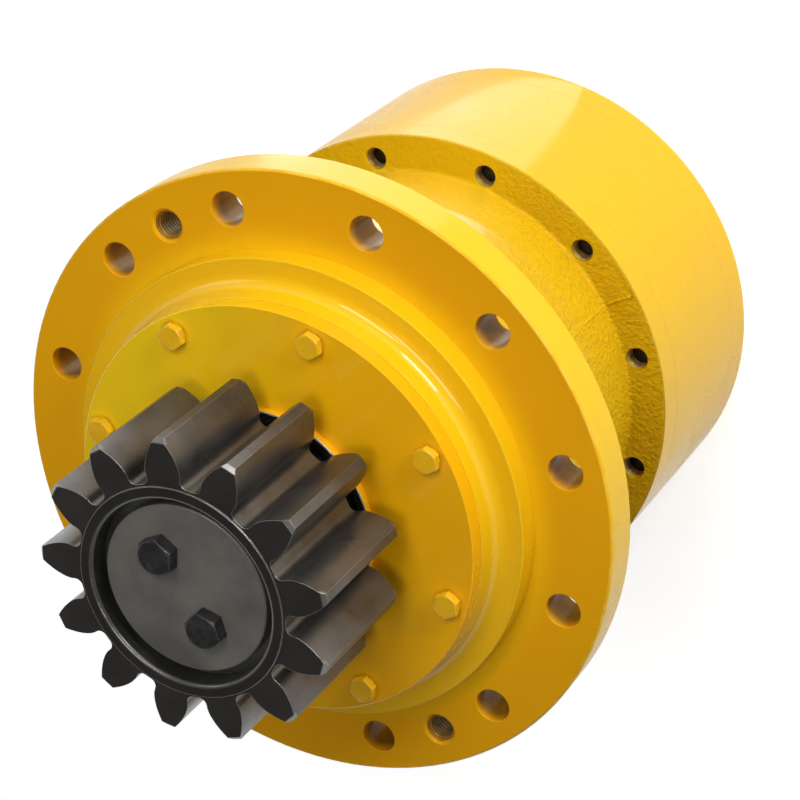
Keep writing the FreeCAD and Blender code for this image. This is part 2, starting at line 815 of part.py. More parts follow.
# Output shaft: splined to the stage 2 carrier below and to the pinion above
def make_shaft():
    z_end = z_shaft_end
    z_spline_top = z_lower_bearing
    z_top = z_plate - shaft_short
    core_low = carrier_spline_r - carrier_spline_h
    core_high = pinion_spline_r - pinion_spline_h
    core = turned([
        (0, z_end, 0),
        (core_low - shaft_edge, z_end, 0),
        (core_low, z_end + shaft_edge, 0),
        (core_low, z_spline_top, 0),
        (lower_bore_r, z_spline_top, 0),
        (lower_bore_r, z_lower_top, 0),
        (shaft_body_r, z_lower_top, 0),
        (shaft_body_r, z_upper_bearing - shaft_collar_t, shaft_edge),
        (shaft_collar_r, z_upper_bearing - shaft_collar_t, 0),
        (shaft_collar_r, z_upper_bearing, 0),
        (upper_bore_r, z_upper_bearing, 0),
        (upper_bore_r, z_pinion, 0),
        (core_high, z_pinion, 0),
        (core_high, z_top - shaft_edge, 0),
        (core_high - shaft_edge, z_top, 0),
        (0, z_top, 0),
    ])
    low_spline = spline_prism(
        carrier_spline_teeth,
        carrier_spline_r,
        carrier_spline_h,
        z_end + shaft_edge,
        z_spline_top - z_end - shaft_edge,
    )
    high_spline = spline_prism(
        pinion_spline_teeth,
        pinion_spline_r,
        pinion_spline_h,
        z_pinion,
        z_top - shaft_edge - z_pinion,
    )
    body = core.fuse([low_spline, high_spline]).removeSplitter()
    bolt_hole = blind_hole(plate_bolt_r + thread_gap, z_top, plate_bolt_len)
    tools = around(placed(bolt_hole, plate_bolt_ring_r), 2, plate_bolt_turn)
    z_button_top = z_shaft_button + button_t
    tools.append(ring(0, button_r + seat_gap, z_end - hole_edge, z_button_top - z_end + hole_edge))
    groove_z = z_end + shaft_edge + snap_t
    groove = ring(carrier_spline_r - carrier_spline_h - snap_depth, shaft_body_r, groove_z, snap_t + snap_play)
    tools.append(groove)
    return body.cut(tools)


# Pinion: thirteen big teeth on a blank turned with chamfers, splined on the shaft
def make_pinion():
    root_r = pinion_module * (pinion_teeth / 2 - tooth_root + pinion_shift)
    tip_r = pinion_module * (pinion_teeth / 2 + tooth_top + pinion_shift)
    wire = gear_outline(
        pinion_teeth,
        pinion_module,
        pinion_shift,
        0,
        root_r,
        tip_r,
        pinion_root_fillet,
        pinion_flank_steps,
        pinion_turn,
        z_pinion,
    )
    tooth_w = pinion_w - pinion_face_step
    teeth = Part.Face(wire).extrude(Vec(0, 0, tooth_w))
    z_tooth_top = z_pinion + tooth_w
    blank = turned([
        (0, z_pinion, 0),
        (tip_r - pinion_tip_chamfer, z_pinion, 0),
        (tip_r, z_pinion + pinion_tip_chamfer, 0),
        (tip_r, z_tooth_top - pinion_tip_chamfer, 0),
        (tip_r - pinion_tip_chamfer, z_tooth_top, 0),
        (pinion_hub_r, z_tooth_top, 0),
        (pinion_hub_r, z_pinion_face, 0),
        (0, z_pinion_face, 0),
    ])
    hub = ring(0, pinion_hub_r, z_tooth_top - pinion_face_step, 2 * pinion_face_step)
    body = teeth.fuse(hub).common(blank)
    recess = turned([
        (0, z_plate, 0),
        (pinion_recess_r, z_plate, 0),
        (pinion_recess_r, z_pinion_face, pinion_recess_round),
        (pinion_recess_r + pinion_recess_round * 2, z_pinion_face, 0),
        (pinion_recess_r + pinion_recess_round * 2, z_pinion_face + hole_edge, 0),
        (0, z_pinion_face + hole_edge, 0),
    ])
    socket = spline_prism(
        pinion_spline_teeth,
        pinion_spline_r,
        pinion_spline_h,
        z_pinion - hole_edge,
        pinion_w + hole_edge,
        spline_play,
    )
    return body.cut([recess, socket])


def make_end_plate():
    """Plate that clamps the pinion to the shaft's end."""
    body = turned([
        (0, z_plate, 0),
        (end_plate_r, z_plate, 0),
        (end_plate_r, z_plate + end_plate_t - end_plate_edge, 0),
        (end_plate_r - end_plate_edge, z_plate + end_plate_t, 0),
        (0, z_plate + end_plate_t, 0),
    ])
    hole = drill(plate_bolt_r + bolt_play, z_plate, z_plate + end_plate_t)
    return body.cut(around(placed(hole, plate_bolt_ring_r), 2, plate_bolt_turn))


def make_end_plate_bolts():
    bolt = hex_bolt(plate_bolt_r, plate_bolt_len, plate_bolt_flats, plate_bolt_head_h)
    bolt.translate(Vec(0, 0, z_plate + end_plate_t))
    return Part.makeCompound(tightened(bolt, plate_bolt_ring_r, 2, plate_bolt_turn))


def make_spacer_sleeve():
    """Hardened sleeve between bearing and pinion that the seal runs on."""
    return turned([
        (upper_bore_r + seat_gap, z_upper_top, 0),
        (sleeve_r, z_upper_top, 0),
        (sleeve_r, z_pinion - hole_edge, 0),
        (sleeve_r - hole_edge, z_pinion, 0),
        (upper_bore_r + seat_gap, z_pinion, 0),
    ])


# Stage 2 carrier: a cage with three windows, splined to the output shaft
def make_carrier_2():
    bore_r = module * (sun_teeth / 2 + tooth_top) + carrier_bore_play
    socket_r = carrier_spline_r + snap_depth + snap_wall
    z_head_top = z_head_2 + carrier_2_head_t
    z_socket = z_shaft_end + shaft_edge + 2 * snap_t + snap_play
    body = turned([
        (bore_r, z_carrier_2, 0),
        (carrier_2_r, z_carrier_2, 0),
        (carrier_2_r, z_head_top - hole_edge, 0),
        (carrier_2_r - hole_edge, z_head_top, 0),
        (carrier_hub_r, z_head_top, 0),
        (carrier_hub_r, z_lower_bearing, 0),
        (0, z_lower_bearing, 0),
        (0, z_socket, 0),
        (socket_r, z_socket, 0),
        (socket_r, z_head_2, 0),
        (bore_r, z_head_2, 0),
    ])
    spline = spline_prism(
        carrier_spline_teeth,
        carrier_spline_r,
        carrier_spline_h,
        z_socket - hole_edge,
        z_lower_bearing - z_socket + 2 * hole_edge,
        spline_play,
    )
    window_r = module * (planet_teeth / 2 + tooth_top) + window_play
    z_low = z_carrier_2 + carrier_2_side_t
    window = ring(0, window_r, z_low, z_head_2 - z_low)
    pin_hole = ring(0, pin_2_r + seat_gap, z_carrier_2 - hole_edge, z_head_top - z_carrier_2 + 2 * hole_edge)
    tools = [spline] + on_planets(window, stage_2_turn) + on_planets(pin_hole, stage_2_turn)
    return body.cut(tools)


def make_pins_2():
    """Planet pins through both plates of the carrier, flush with its ends."""
    length = z_head_2 + carrier_2_head_t - z_carrier_2
    pin = ring(0, pin_2_r, z_carrier_2, length)
    return Part.makeCompound(on_planets(pin, stage_2_turn))


def make_washers(pin_r, levels, turn):
    """Thrust washers on the planet pins."""
    solids = []
    for z in levels:
        washer = ring(pin_r + bush_play, pin_r + washer_wall, z, washer_t)
        solids += on_planets(washer, turn)
    return Part.makeCompound(solids)


def make_shaft_snap_ring():
    groove_r = carrier_spline_r - carrier_spline_h - snap_depth
    z = z_shaft_end + shaft_edge + snap_t + snap_play / 2
    return snap_ring(groove_r + snap_play, snap_wall, z)


# Stage 1 carrier: one plate with overhung pins, driving the stage 2 sun through its teeth
def make_carrier_1():
    pitch_r = module * sun_teeth / 2
    body = ring(0, carrier_1_r, z_carrier_1, carrier_1_t)
    socket = gear_prism(
        sun_teeth,
        pitch_r - tooth_top * module / 2,
        pitch_r + tooth_top * module + spline_play * 2,
        z_carrier_1,
        carrier_1_t,
        -tooth_thinning,
    )
    hole = ring(0, pin_1_r + seat_gap, z_carrier_1, carrier_1_t)
    light = ring(0, pin_1_r, z_carrier_1, carrier_1_t)
    tools = [socket] + on_planets(hole, 0)
    tools += on_planets(light, FULL / planet_count / 2)
    return body.cut(tools)


def make_pins_1():
    """Overhung pins with a groove for the snap ring at the free end."""
    low = z_planet_1 - washer_t - snap_t - pin_end
    groove_z = z_planet_1 - washer_t - snap_t - snap_play
    groove_top = z_planet_1 - washer_t
    pin = turned([
        (0, low, 0),
        (pin_1_r - snap_depth, low, 0),
        (pin_1_r, low + snap_depth, 0),
        (pin_1_r, groove_z, 0),
        (pin_1_r - snap_depth, groove_z, 0),
        (pin_1_r - snap_depth, groove_top, 0),
        (pin_1_r, groove_top, 0),
        (pin_1_r, z_carrier_1 + carrier_1_t, 0),
        (0, z_carrier_1 + carrier_1_t, 0),
    ])
    return Part.makeCompound(on_planets(pin, 0))


def make_pin_snap_rings():
    z = z_planet_1 - washer_t - snap_t - snap_play / 2
    clip = snap_ring(pin_1_r - snap_depth + snap_play, snap_wall, z)
    return Part.makeCompound(on_planets(clip, 0))


def sun_blank(z, height):
    pitch_r = module * sun_teeth / 2
    return gear_prism(
        sun_teeth,
        pitch_r - tooth_root * module,
        pitch_r + tooth_top * module,
        z,
        height,
        tooth_thinning,
        root_fillet,
    )


def make_sun_2():
    """Stage 2 sun: one long gear, its lower teeth held in the stage 1 carrier."""
    body = sun_blank(z_carrier_1, z_sun_2_top - z_carrier_1)
    depth = z_sun_button + button_t - z_carrier_1
    bore = ring(0, button_r + seat_gap, z_carrier_1 - hole_edge, depth + hole_edge)
    return body.cut(bore)


def make_sun_1():
    """Input sun with a hub towards the motor and a splined socket for the motor's shaft."""
    z_hub = z_planet_1 - sun_hub_len
    teeth = sun_blank(z_planet_1, z_sun_1_top - z_planet_1)
    hub = turned([
        (0, z_hub, 0),
        (sun_hub_r - hole_edge, z_hub, 0),
        (sun_hub_r, z_hub + hole_edge, 0),
        (sun_hub_r, z_planet_1, 0),
        (0, z_planet_1, 0),
    ])
    socket = spline_prism(
        sun_spline_teeth,
        sun_spline_r,
        sun_spline_h,
        z_hub - hole_edge,
        sun_spline_len + hole_edge,
        spline_play,
    )
    return teeth.fuse(hub).removeSplitter().cut(socket)


def make_button(z, height):
    """Hardened thrust button between two shafts that end on each other."""
    return ring(0, button_r, z, height)


def make_planet(width, z, pin_r):
    """Planet on the +X side, with a tooth pointing straight out."""
    pitch_r = module * planet_teeth / 2
    body = gear_prism(
        planet_teeth,
        pitch_r - tooth_root * module,
        pitch_r + tooth_top * module,
        z + face_play,
        width - 2 * face_play,
        tooth_thinning,
        root_fillet,
    )
    return body.cut(ring(0, pin_r + bush_t, z, width))


def make_bush(width, z, pin_r):
    """Bronze bush pressed in the planet, running on its pin."""
    return ring(pin_r + bush_play, pin_r + bush_t, z + face_play, width - 2 * face_play)


def build():
    """Every node by name."""
    nodes = {}
    nodes["case"] = make_case()
    nodes["ring_gear"] = make_ring_gear()
    nodes["motor_cover"] = make_motor_cover()
    nodes["case_bolts"] = make_case_bolts()
    nodes["dowel_pins"] = Part.makeCompound(dowels(dowel_r))
    nodes["output_cover"] = make_output_cover()
    nodes["cover_bolts"] = make_cover_bolts()
    nodes["cover_o_ring"] = make_cover_o_ring()
    nodes["oil_seal"] = make_oil_seal()
    level_z, drain_z = plug_heights()
    nodes["level_plug"] = make_oil_plug(level_z)
    nodes["drain_plug"] = make_oil_plug(drain_z)
    upper = make_bearing(
        upper_bore_r,
        upper_outer_r,
        upper_w,
        upper_roller_r,
        upper_roller_len,
        upper_roller_count,
        z_upper_bearing,
        True,
    )
    lower = make_bearing(
        lower_bore_r,
        lower_outer_r,
        lower_w,
        lower_roller_share * (lower_outer_r - lower_bore_r),
        lower_roller_len,
        lower_roller_count,
        z_lower_bearing,
        False,
    )
    for name, pieces in (("upper", upper), ("lower", lower)):
        for part, piece in zip(("outer_ring", "inner_ring", "rollers", "cage"), pieces):
            nodes[name + "_bearing_" + part] = piece
    nodes["output_shaft"] = make_shaft()
    nodes["pinion"] = make_pinion()
    nodes["end_plate"] = make_end_plate()
    nodes["end_plate_bolts"] = make_end_plate_bolts()
    nodes["spacer_sleeve"] = make_spacer_sleeve()
    nodes["shaft_snap_ring"] = make_shaft_snap_ring()
    nodes["carrier_2"] = make_carrier_2()
    nodes["planet_pins_2"] = make_pins_2()
    nodes["thrust_washers_2"] = make_washers(
        pin_2_r, (z_planet_2 - washer_t, z_head_2 - washer_t), stage_2_turn
    )
    nodes["carrier_1"] = make_carrier_1()
    nodes["planet_pins_1"] = make_pins_1()
    nodes["pin_snap_rings"] = make_pin_snap_rings()
    nodes["thrust_washers_1"] = make_washers(
        pin_1_r, (z_planet_1 - washer_t, z_carrier_1 - washer_t), 0
    )
    nodes["sun_gear_2"] = make_sun_2()
    nodes["sun_gear_1"] = make_sun_1()
    nodes["shaft_thrust_button"] = make_button(z_shaft_button, button_t)
    nodes["sun_thrust_button"] = make_button(z_sun_button, button_t)
    planet_1 = make_planet(planet_1_w, z_planet_1, pin_1_r)
    planet_2 = make_planet(planet_2_w, z_planet_2, pin_2_r)
    bush_1 = make_bush(planet_1_w, z_planet_1, pin_1_r)
    bush_2 = make_bush(planet_2_w, z_planet_2, pin_2_r)
    for i in range(planet_count):
        letter = chr(ord("a") + i)
        nodes["planet_1" + letter] = on_planets(planet_1, 0)[i]
        nodes["planet_bush_1" + letter] = on_planets(bush_1, 0)[i]
        nodes["planet_2" + letter] = on_planets(planet_2, stage_2_turn)[i]
        nodes["planet_bush_2" + letter] = on_planets(bush_2, stage_2_turn)[i]
    return nodes


for node_name, node_shape in build().items():
    node_shape.exportStep("parts/" + node_name + ".step")
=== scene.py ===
import math
from functools import reduce

import bpy
import numpy as np
from mathutils import Euler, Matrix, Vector


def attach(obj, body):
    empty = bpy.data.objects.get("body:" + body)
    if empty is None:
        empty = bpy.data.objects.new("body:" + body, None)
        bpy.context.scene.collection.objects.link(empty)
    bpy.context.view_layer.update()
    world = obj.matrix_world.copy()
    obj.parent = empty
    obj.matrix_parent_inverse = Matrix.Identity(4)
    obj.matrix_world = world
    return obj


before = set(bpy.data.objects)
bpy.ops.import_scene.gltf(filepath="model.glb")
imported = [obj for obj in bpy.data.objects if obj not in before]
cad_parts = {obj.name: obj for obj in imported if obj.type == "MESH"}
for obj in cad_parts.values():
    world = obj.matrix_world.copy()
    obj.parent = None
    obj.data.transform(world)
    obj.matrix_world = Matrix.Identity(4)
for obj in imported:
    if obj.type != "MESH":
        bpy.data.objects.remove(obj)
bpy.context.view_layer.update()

# Studio: a pale floor that the gearbox stands on with its motor face, a large soft light low
# on the side of the camera, three weaker ones above it, a lit card flat on the floor that only
# shows as a sheen in the gloss, and a dim plain room.
scene = bpy.context.scene
scene.view_settings.view_transform = "Standard"
camera_data = bpy.data.cameras.new("photo_camera")
camera_data.sensor_width = 36.0
camera_data.lens = 106.502
camera_data.clip_end = 100.0
camera = bpy.data.objects.new("photo_camera", camera_data)
camera.location = Vector((-0.50739, -0.94226, 1.62016))
camera.rotation_euler = Euler([math.radians(a) for a in (-26.776914, 27.209704, -166.144022)])
scene.collection.objects.link(camera)
scene.camera = camera


def soft_light(name, place, away, width, height, power):
    """Rectangular lamp at a place, which shines against the direction away."""
    data = bpy.data.lights.new(name, "AREA")
    data.shape = "RECTANGLE"
    data.size = width
    data.size_y = height
    data.energy = power
    lamp = bpy.data.objects.new(name, data)
    lamp.location = place
    lamp.rotation_euler = away.to_track_quat("Z", "Y").to_euler()
    scene.collection.objects.link(lamp)
    return lamp


def around(azimuth, elevation):
    """Unit vector towards a point of the sky."""
    a, e = math.radians(azimuth), math.radians(elevation)
    return Vector((math.cos(e) * math.cos(a), math.cos(e) * math.sin(a), math.sin(e)))


middle, lamp_distance, lamp_side = Vector((0, 0, 0.25)), 2.6, 0.9
lamps = (
    ("side_light", -115, 8, 44),
    ("front_light", -80, 48, 18),
    ("top_light", -115, 75, 14),
    ("left_light", -15, 35, 6),
)
for name, azimuth, elevation, power in lamps:
    away = around(azimuth, elevation)
    soft_light(name, middle + lamp_distance * away, away, lamp_side, lamp_side, power)
card = soft_light("floor_card", Vector((0.175, -0.36, 0.001)), Vector((0, 0, -1)), 0.35, 0.34, 0.9)
card.visible_camera = False
card.visible_diffuse = False


class Nodes:
    """Short calls for a tree's maths nodes. They take numbers or sockets and give a socket."""

    def __init__(self, tree):
        self.nodes = tree.nodes
        self.links = tree.links

    def feed(self, socket, value):
        """Links the socket, or sets its value."""
        if hasattr(value, "is_output"):
            self.links.new(value, socket)
        else:
            socket.default_value = value

    def math(self, operation, a, b=0.0):
        node = self.nodes.new("ShaderNodeMath")
        node.operation = operation
        self.feed(node.inputs[0], a)
        self.feed(node.inputs[1], b)
        return node.outputs[0]

    def plus(self, a, b):
        return self.math("ADD", a, b)

    def less(self, a, b):
        """a without b."""
        return self.math("SUBTRACT", a, b)

    def times(self, *values):
        """Product, which for masks is where all of them are."""
        return reduce(lambda a, b: self.math("MULTIPLY", a, b), values)

    def most(self, *values):
        """Largest value, which for masks is where any of them is."""
        return reduce(lambda a, b: self.math("MAXIMUM", a, b), values)

    def length(self, a, b):
        """Length of the vector (a, b)."""
        return self.math("SQRT", self.plus(self.times(a, a), self.times(b, b)))

    def spread(self, value, low, high, to_low, to_high):
        """Smooth step from to_low, where the value is low, to to_high, where it is high."""
        node = self.nodes.new("ShaderNodeMapRange")
        node.interpolation_type = "SMOOTHSTEP"
        for socket, item in zip(node.inputs, (value, low, high, to_low, to_high)):
            self.feed(socket, item)
        return node.outputs[0]


def room_world():
    """Dim room for the lighting, white where it is seen directly.

    Mirrors see it white low down and dim overhead.
    """
    world = bpy.data.worlds.new("pale_room")
    world.use_nodes = True
    w = Nodes(world.node_tree)
    direction = w.nodes.new("ShaderNodeSeparateXYZ")
    w.feed(direction.inputs[0], w.nodes.new("ShaderNodeTexCoord").outputs["Generated"])
    path = w.nodes.new("ShaderNodeLightPath").outputs
    room, overhead = 0.09, 0.15
    low_sky = w.spread(direction.outputs["Z"], 0.2, 0.6, 1.0, overhead)
    seen = w.most(path["Is Camera Ray"], path["Is Transmission Ray"])
    strength = w.most(seen, w.times(path["Is Glossy Ray"], low_sky), room)
    w.feed(w.nodes["Background"].inputs["Strength"], strength)
    w.feed(w.nodes["Background"].inputs["Color"], (1, 1, 1, 1))
    return world


def floor_material():
    """Pale matt paint, which glows for the camera and for mirrors, more so far off."""
    material = bpy.data.materials.new("pale_floor")
    material.use_nodes = True
    f = Nodes(material.node_tree)
    surface = f.nodes["Principled BSDF"].inputs
    f.feed(surface["Base Color"], (0.83, 0.83, 0.83, 1))
    f.feed(surface["Roughness"], 0.9)
    f.feed(surface["Emission Color"], (1, 1, 1, 1))
    path = f.nodes.new("ShaderNodeLightPath").outputs
    far = f.nodes.new("ShaderNodeVectorMath")
    far.operation = "LENGTH"
    f.feed(far.inputs[0], f.nodes.new("ShaderNodeTexCoord").outputs["Object"])
    seen = f.most(path["Is Camera Ray"], path["Is Transmission Ray"], path["Is Glossy Ray"])
    near_glow, far_glow = 0.7, 0.96
    glow = f.spread(far.outputs["Value"], 0.7, 3.0, near_glow, far_glow)
    f.feed(surface["Emission Strength"], f.times(seen, glow))
    return material


scene.world = room_world()
floor_half, floor_gap = 15, 0.0005
floor_mesh = bpy.data.meshes.new("floor")
signs = ((-1, -1), (1, -1), (1, 1), (-1, 1))
floor_corners = [(floor_half * x, floor_half * y, 0) for x, y in signs]
floor_mesh.from_pydata(floor_corners, [], [(0, 1, 2, 3)])
floor = bpy.data.objects.new("floor", floor_mesh)
floor.location.z = -floor_gap
floor_mesh.materials.append(floor_material())
scene.collection.objects.link(floor)


# Case: one grey iron casting, painted all over. The flange, pilot and rim are turned smooth
# before painting, and the neck and the faces beside it keep the sand's rough skin.
class Shader(Nodes):
    """A Principled material, in the object's own coordinates.

    x and y lie across the shaft's axis, height runs along it and radius is the distance to it.
    """

    def __init__(self, name):
        self.material = bpy.data.materials.new(name)
        self.material.use_nodes = True
        super().__init__(self.material.node_tree)
        self.surface = self.nodes["Principled BSDF"]
        self.place = self.nodes.new("ShaderNodeTexCoord").outputs["Object"]
        parts = self.nodes.new("ShaderNodeSeparateXYZ")
        self.feed(parts.inputs[0], self.place)
        self.x, self.y, self.height = parts.outputs
        self.radius = self.length(self.x, self.y)

    def set(self, **values):
        """Feeds the surface's sockets, whose names have _ for a space here."""
        for key, value in values.items():
            self.feed(self.surface.inputs[key.replace("_", " ")], value)

    def noise(self, scale, detail=3.0, rough=0.5, place=None):
        node = self.nodes.new("ShaderNodeTexNoise")
        node.inputs["Scale"].default_value = scale
        node.inputs["Detail"].default_value = detail
        node.inputs["Roughness"].default_value = rough
        self.feed(node.inputs["Vector"], place or self.place)
        return node.outputs["Fac"]

    def lines(self, value, count):
        """Turning marks across a value, with about count of them in a metre."""
        return self.noise(1, 2, 0.5, self.times(value, count))

    def blend(self, amount, first, second):
        node = self.nodes.new("ShaderNodeMix")
        node.data_type = "RGBA"
        self.feed(node.inputs["Factor"], amount)
        self.feed(node.inputs["A"], first)
        self.feed(node.inputs["B"], second)
        return node.outputs["Result"]

    def bump(self, height, depth, under=None):
        """Normal of a relief, on top of another normal where one is given."""
        node = self.nodes.new("ShaderNodeBump")
        self.feed(node.inputs["Height"], height)
        node.inputs["Distance"].default_value = depth
        if under:
            self.feed(node.inputs["Normal"], under)
        return node.outputs[0]

    def edges(self, radius):
        """Normal with the edges rounded off, and a mask that is 1 on them."""
        soft = self.nodes.new("ShaderNodeBevel")
        soft.samples = 4
        soft.inputs["Radius"].default_value = radius
        turn = self.nodes.new("ShaderNodeVectorMath")
        turn.operation = "DOT_PRODUCT"
        self.feed(turn.inputs[0], soft.outputs[0])
        self.feed(turn.inputs[1], self.nodes.new("ShaderNodeNewGeometry").outputs["Normal"])
        return soft.outputs[0], self.spread(turn.outputs["Value"], 0.80, 0.985, 1.0, 0.0)

    def above(self, value, low, high):
        """0 below low and 1 above high."""
        return self.spread(value, low, high, 0.0, 1.0)

    def below(self, value, low, high):
        """1 below low and 0 above high."""
        return self.spread(value, low, high, 1.0, 0.0)

    def near(self, at_radius, at_height, width):
        """1 on the circular edge at a radius and a height, falling to 0 over a width."""
        away = self.length(self.less(self.radius, at_radius), self.less(self.height, at_height))
        return self.below(away, width * 0.3, width)

    def from_ring(self, count, ring):
        """Distance to the nearest of the axes that stand on a ring, the first of them at y = 0.

        The angle is folded into one of count equal parts, so one axis stands for all.
        """
        part = self.times(self.math("ARCTAN2", self.y, self.x), count / (2 * math.pi))
        turn = self.less(self.math("FRACT", self.plus(part, 0.5)), 0.5)
        turn = self.times(turn, 2 * math.pi / count)
        side = self.times(self.math("SINE", turn), self.radius)
        out = self.times(self.math("COSINE", turn), self.radius)
        return self.length(side, self.less(out, ring))


def dress(names, material):
    """Gives CAD nodes a material, in all the slots that their meshes have."""
    for name in names:
        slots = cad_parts[name].data.materials
        slots.clear()
        slots.append(material)


paint_yellow = (0.90, 0.435, 0.0045, 1)
paint_deep = (0.80, 0.370, 0.0035, 1)
paint_lit_yellow = (0.89, 0.545, 0.0060, 1)
paint_thin_and_sheen = (0.93, 0.60, 0.08, 1)
paint_olive = (0.80, 0.53, 0.0060, 1)
paint_dirt_and_shade = (0.13, 0.068, 0.003, 1)
mist_shade_brown = (0.40, 0.19, 0.010, 1)
mist_shade_grey = (0.26, 0.14, 0.018, 1)
coat_thin, coat_ior, coat_rough = 0.08, 1.5, 0.07


def painted(name, lit_yellow, worn, cast=None, dusty=None, seam=None, mist_and_shade=None, runs_and_sheen=None):
    """Enamel with orange peel, specks of dust and painted shade in the sand's hollows. Each
    argument is a function that gives a mask:

    a yellower tone that is painted light where lit_yellow is 1, thin paint where worn is 1,
    sand grain where cast is 1, an olive coat where dusty is 1, a soiled joint where seam is 1,
    thin spray darkened by painted shade over the iron where mist_and_shade is 1, and a thick
    glossy coat on the two places that runs_and_sheen gives, with painted sheen on the neck.
    """
    s = Shader(name)
    round_normal, edge = s.edges(0.0009)
    tone = s.blend(s.spread(s.noise(5.5, 4), 0.3, 0.75, 0.0, 0.6), paint_yellow, paint_deep)
    # Painted light: a yellower tone on the walls that face the lamps.
    tone = s.blend(lit_yellow(s), tone, paint_lit_yellow)
    if dusty:
        tone = s.blend(dusty(s), tone, paint_olive)
    dirt_and_shade = s.spread(s.noise(620, 2, 0.6), 0.68, 0.74, 0.0, 0.06)
    if seam:
        dirt_and_shade = s.most(dirt_and_shade, seam(s))
    gloss = s.spread(s.noise(14, 4), 0.3, 0.7, 0.2, 0.3)
    normal = s.bump(s.noise(210, 2), 0.00005, round_normal)
    if cast:
        grain = cast(s)
        sand = s.noise(330, 3, 0.6)
        lumps = s.times(s.noise(95, 4, 0.6), 0.8)
        # Painted shade: darker paint in the low hollows of the sand grain.
        dirt_and_shade = s.most(dirt_and_shade, s.times(s.spread(sand, 0.30, 0.50, 0.09, 0.0), grain))
        gloss = s.plus(gloss, s.times(grain, 0.2))
        normal = s.bump(s.times(s.plus(sand, lumps), grain), 0.0029, normal)
    tone = s.blend(dirt_and_shade, tone, paint_dirt_and_shade)
    patchy = s.spread(s.noise(70, 4, 0.65), 0.40, 0.60, 0.15, 0.8)
    tone = s.blend(s.most(s.times(worn(s), patchy), s.times(edge, 0.12)), tone, paint_thin_and_sheen)
    if mist_and_shade:
        # Painted shade: brown and grey shaded paint tones on the hole walls, deeper in.
        thin = s.blend(s.above(s.noise(60, 4, 0.6), 0.35, 0.65), mist_shade_brown, mist_shade_grey)
        tone = s.blend(mist_and_shade(s), tone, thin)
    coat = coat_thin
    if runs_and_sheen:
        neck, boss = runs_and_sheen(s, grain, edge)
        # Painted sheen: a paler tone on the neck's smooth side, in place of a reflection.
        tone = s.blend(s.times(neck, 0.3), tone, paint_thin_and_sheen)
        coat = s.plus(s.most(neck, boss), coat_thin)
    s.set(Base_Color=tone, Roughness=gloss, Normal=normal, Specular_IOR_Level=0.09)
    s.set(Coat_Weight=coat, Coat_Roughness=coat_rough, Coat_IOR=coat_ior)
    return s.material


flange_r, flange_low, flange_top = 0.2300, 0.3340, 0.3660
hole_count, hole_ring, hole_r = 12, 0.2025, 0.0125
pilot_r, pilot_top = 0.1740, 0.3840
rear_r, rear_face = 0.1893, 0.1690
seam_r, seam_height = 0.1549, 0.4017
hair = 0.0005


def case_cast(s):
    """The neck and the two faces that look at it, ground smoother on one side."""
    side = s.plus(s.x, s.times(s.noise(9, 3), 0.06))
    rise = s.above(s.height, rear_face - 0.0007, rear_face - 0.0001)
    fall = s.below(s.height, flange_low + 0.0001, flange_low + 0.0007)
    return s.times(rise, fall, s.spread(side, -0.03, 0.05, 1.0, 0.3))


def case_lit_yellow(s):
    """The neck, the rear flange and the outside of the mounting flange, where the lamps fall: a
    yellower tone that is painted light.
    """
    rim = s.above(s.radius, flange_r - 2 * hair, flange_r)
    walls = s.spread(s.radius, pilot_r + hair, pilot_r + 0.021, 0.8, 0.0)
    walls = s.times(walls, s.above(s.height, flange_top - 0.006, flange_top - 0.005))
    lower = s.spread(s.height, flange_low - 2 * hair, flange_low + hair, 0.85, 0.0)
    return s.most(rim, walls, lower)


def case_dusty(s):
    """The rear flange's face, where sand and dust sit under the paint."""
    low = s.below(s.height, rear_face + 0.0002, rear_face + 0.0016)
    return s.times(low, s.below(s.radius, rear_r - 0.0015, rear_r - 0.0009))


def seam_grime(s):
    """The joint between the boss and the output cover, where oily dust collects."""
    return s.times(s.near(seam_r, seam_height, 0.0017), 0.9)


def case_hole_mist_and_shade(s):
    """Walls of the twelve flange holes, which the spray only reached at the mouths. Deeper in, the
    darker brown and grey tones are painted shade.
    """
    walls = s.below(s.from_ring(hole_count, hole_ring), hole_r + 0.00002, hole_r + 0.00012)
    depth = s.plus(s.height, s.times(s.noise(90, 3), 0.010))
    return s.times(walls, s.below(depth, flange_top - 0.008, flange_top + 0.003))


def case_worn(s):
    """Edges of the flange, the pilot and the rear flange, where a brush leaves little paint."""
    worn = s.near(flange_r - hair, flange_top - hair, 0.0016)
    others = (
        (flange_r - hair, flange_low + hair, 1.0),
        (pilot_r - 0.0003, pilot_top - 0.0002, 0.12),
        (rear_r - hair, rear_face - 0.0001, 0.7),
    )
    for at_radius, at_height, share in others:
        worn = s.most(worn, s.times(s.near(at_radius, at_height, 0.0014), share))
    return worn


def case_runs_and_sheen(s, grain, edge):
    """The neck's smooth side, and the boss but for its sharp edges. The neck also gets a paler
    tone, a painted sheen.
    """
    above = s.above(s.height, rear_face + 0.001, rear_face + 0.003)
    below = s.below(s.height, flange_low - 0.004, flange_low)
    neck = s.times(s.below(s.radius, 0.1700, 0.1760), above, below, s.less(1.0, grain))
    boss = s.below(s.radius, pilot_r - 0.0015, pilot_r - hair)
    boss = s.times(boss, s.above(s.height, pilot_top - 0.004, pilot_top))
    return neck, s.times(boss, s.less(0.5, s.times(edge, 0.5)))


case_paint = painted(
    "case_paint", case_lit_yellow, case_worn, case_cast, case_dusty, seam_grime, case_hole_mist_and_shade, case_runs_and_sheen
)
dress(["case"], case_paint)


# Drum: the ring gear's outside and the motor cover, both turned smooth and painted together
# after assembly, so the paint fills the joint between them.
def drum_lit_yellow(s):
    """The whole outside: a yellower tone that is painted light where the side lamps fall."""
    return s.spread(s.radius, 0.180, 0.186, 0.0, 0.85)


def drum_worn(s):
    """The edge at the motor face, which is put down on floors."""
    return s.near(rear_r - hair, 0.0004, 0.004)


